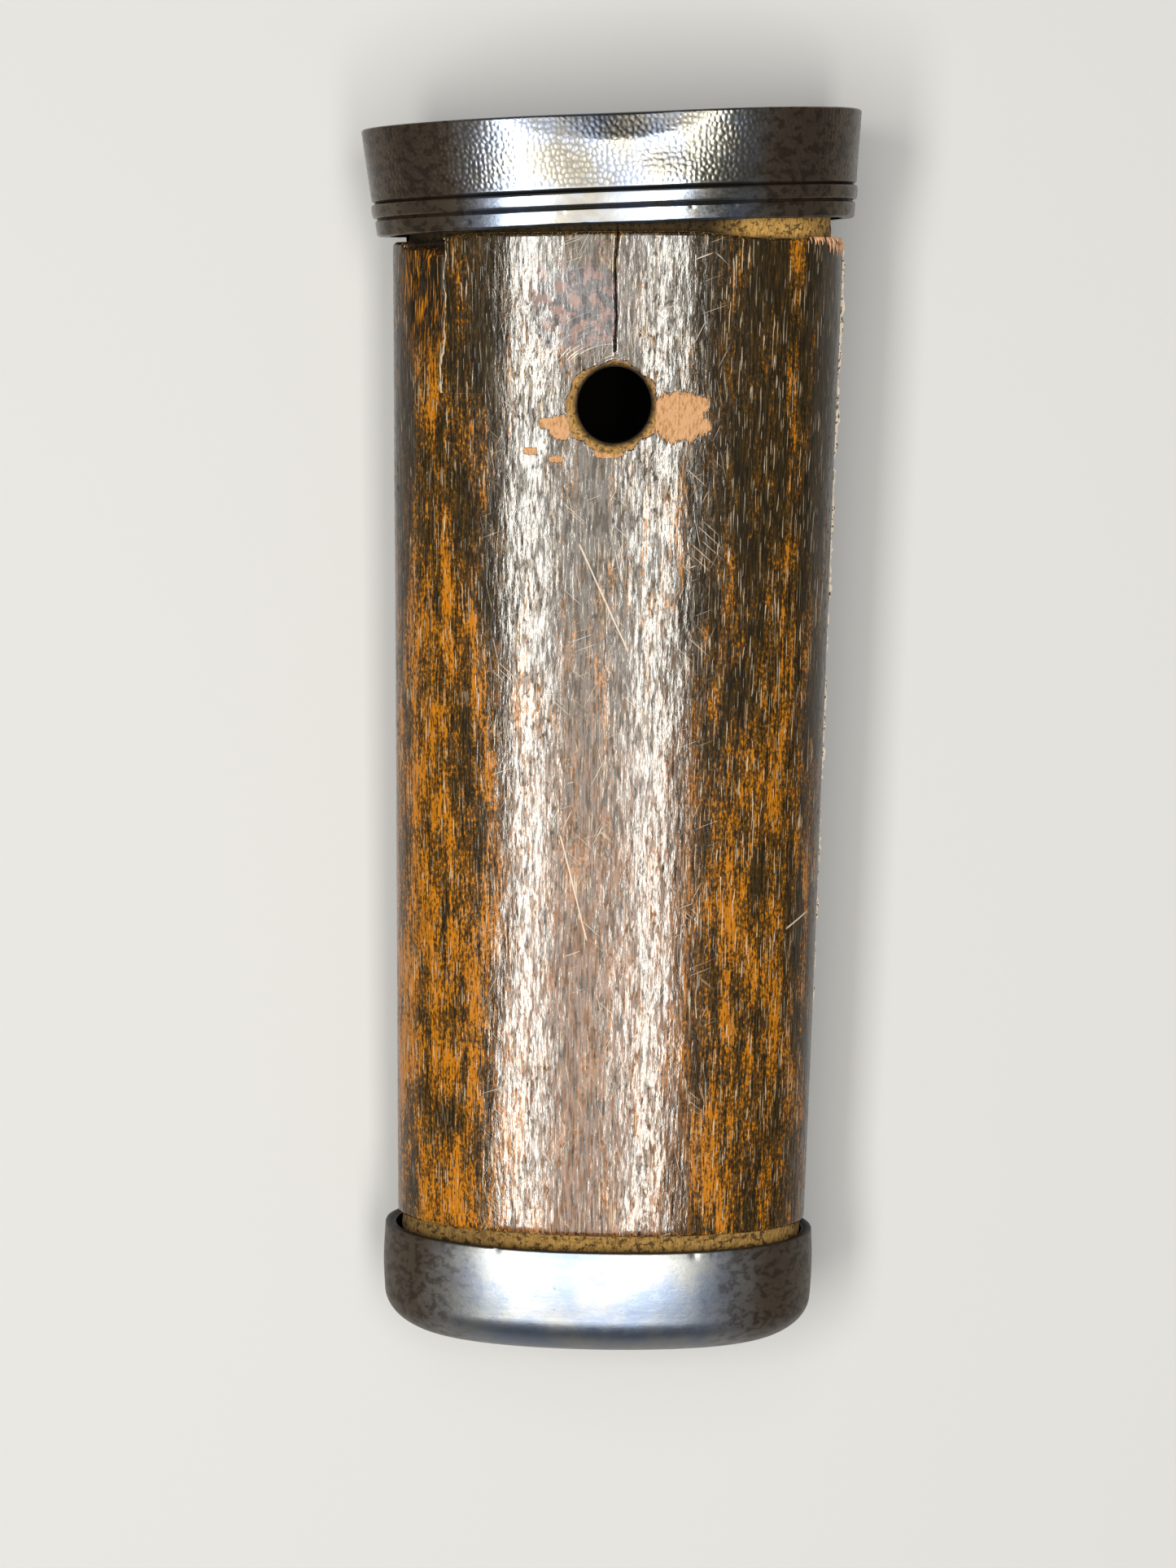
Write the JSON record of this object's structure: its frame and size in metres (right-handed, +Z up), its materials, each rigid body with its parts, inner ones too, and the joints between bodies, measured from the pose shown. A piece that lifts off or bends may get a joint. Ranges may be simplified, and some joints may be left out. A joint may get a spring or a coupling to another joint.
{
  "type": "dagger hilt",
  "caption": "Short oval hardwood dagger hilt, split and glued round an empty tang slot, with a loose textured silver collar, a smooth silver end cap and an open peg hole.",
  "frame": {"origin": "on the floor under the middle of the hilt's box, as it lies on its back", "axes": "+Y runs along the hilt from the end cap to the collar, +X is the width of the oval towards the blade's edge side, and +Z is up, out of the front with the wide end of the peg hole"},
  "size_m": [0.0372, 0.0948, 0.0216],
  "materials": {
    "stained_hardwood": "dark stained and rubbed to a gloss, with bare worn patches",
    "textured_silver": "hammered pebble texture on the tall band, polished bead and lip, dark tarnish in the hollows",
    "satin_silver": "smooth satin with light tarnish and small nicks"
  },
  "bodies": {
    "grip": {"grip_front_half": "stained_hardwood", "grip_back_half": "stained_hardwood", "end_cap": "satin_silver"},
    "collar": {"collar_band": "textured_silver", "collar_plate": "textured_silver"}
  },
  "joints": [
    {"name": "collar_slide", "type": "slide", "parent": "grip", "child": "collar", "axis": [0, 0.9998, 0.0195], "range_m": [0, 0.012]}
  ]
}
